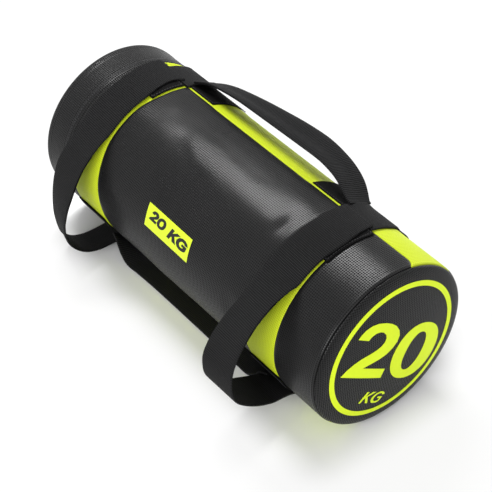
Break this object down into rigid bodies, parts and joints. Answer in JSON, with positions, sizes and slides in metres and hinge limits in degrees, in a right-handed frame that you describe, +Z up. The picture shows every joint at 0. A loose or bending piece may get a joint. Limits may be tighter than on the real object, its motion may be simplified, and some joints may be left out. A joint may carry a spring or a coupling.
{
  "type": "sandbag trainer",
  "caption": "Padded sand-filled cylinder for strength training, with webbing bands, hanging loop handles on both long sides and long handles along its length.",
  "frame": {"origin": "on the floor, under the middle of the bag's length and of its overall depth", "axes": "+X along the bag towards the printed end, +Z up, -Y towards the user's side"},
  "size_m": [0.512, 0.3177, 0.2318],
  "materials": {
    "cover_black": "synthetic leather, fine grid emboss, satin",
    "cover_lime": "synthetic leather, lime, satin",
    "padding_foam": "closed-cell foam",
    "pouch_liner": "woven liner",
    "webbing_black": "ribbed nylon webbing, matte"
  },
  "bodies": {
    "bag": {"anchor_patch_bottom_left": "webbing_black", "anchor_patch_bottom_right": "webbing_black", "anchor_patch_top_left": "webbing_black", "anchor_patch_top_right": "webbing_black", "band_bottom_left": "webbing_black", "band_bottom_right": "webbing_black", "band_top_left": "webbing_black", "band_top_right": "webbing_black", "base_patch_bottom_left": "webbing_black", "base_patch_bottom_right": "webbing_black", "base_patch_top_left": "webbing_black", "base_patch_top_right": "webbing_black", "belt_left_front": "cover_lime", "belt_left_rear": "cover_lime", "belt_right_front": "cover_lime", "belt_right_rear": "cover_lime", "cap_left": "cover_black", "cap_right": "cover_black", "end_pad_left": "padding_foam", "end_pad_right": "padding_foam", "end_panel_left": "cover_black", "end_panel_right_front": "cover_black", "end_panel_right_rear": "cover_black", "handle_root_bottom_left": "webbing_black", "handle_root_bottom_right": "webbing_black", "handle_root_top_left": "webbing_black", "handle_root_top_right": "webbing_black", "padding_sleeve": "padding_foam", "panel_front": "cover_black", "panel_rear": "cover_black", "sand_pouch_1": "pouch_liner", "sand_pouch_2": "pouch_liner", "sand_pouch_3": "pouch_liner", "sand_pouch_4": "pouch_liner", "strip_bottom": "cover_lime", "strip_top": "cover_lime"},
    "handle_bottom": {"handle_bottom": "webbing_black"},
    "handle_top": {"handle_top": "webbing_black"},
    "loop_front_left": {"loop_front_left": "webbing_black"},
    "loop_front_right": {"loop_front_right": "webbing_black"},
    "loop_rear_left": {"loop_rear_left": "webbing_black"},
    "loop_rear_right": {"loop_rear_right": "webbing_black"}
  },
  "joints": [
    {"name": "loop_front_left_swing", "type": "hinge", "parent": "bag", "child": "loop_front_left", "pos_m": [-0.17799, -0.0945, 0.1066], "axis": [0, 0, 1], "range_deg": [-25, 25]},
    {"name": "loop_rear_left_swing", "type": "hinge", "parent": "bag", "child": "loop_rear_left", "pos_m": [-0.17799, 0.11865, 0.1066], "axis": [0, 0, 1], "range_deg": [-15, 15]},
    {"name": "loop_front_right_swing", "type": "hinge", "parent": "bag", "child": "loop_front_right", "pos_m": [0.16121, -0.0945, 0.1066], "axis": [0, 0, 1], "range_deg": [-25, 25]},
    {"name": "loop_rear_right_swing", "type": "hinge", "parent": "bag", "child": "loop_rear_right", "pos_m": [0.16121, 0.11865, 0.1066], "axis": [0, 0, 1], "range_deg": [-15, 15]},
    {"name": "handle_top_swing", "type": "hinge", "parent": "bag", "child": "handle_top", "pos_m": [0, 0.06539, 0.19998], "axis": [1, 0, 0], "range_deg": [-20, 20]},
    {"name": "handle_bottom_swing", "type": "hinge", "parent": "bag", "child": "handle_bottom", "pos_m": [0, -0.06209, 0.00382], "axis": [-1, 0, 0], "range_deg": [0, 35]}
  ]
}
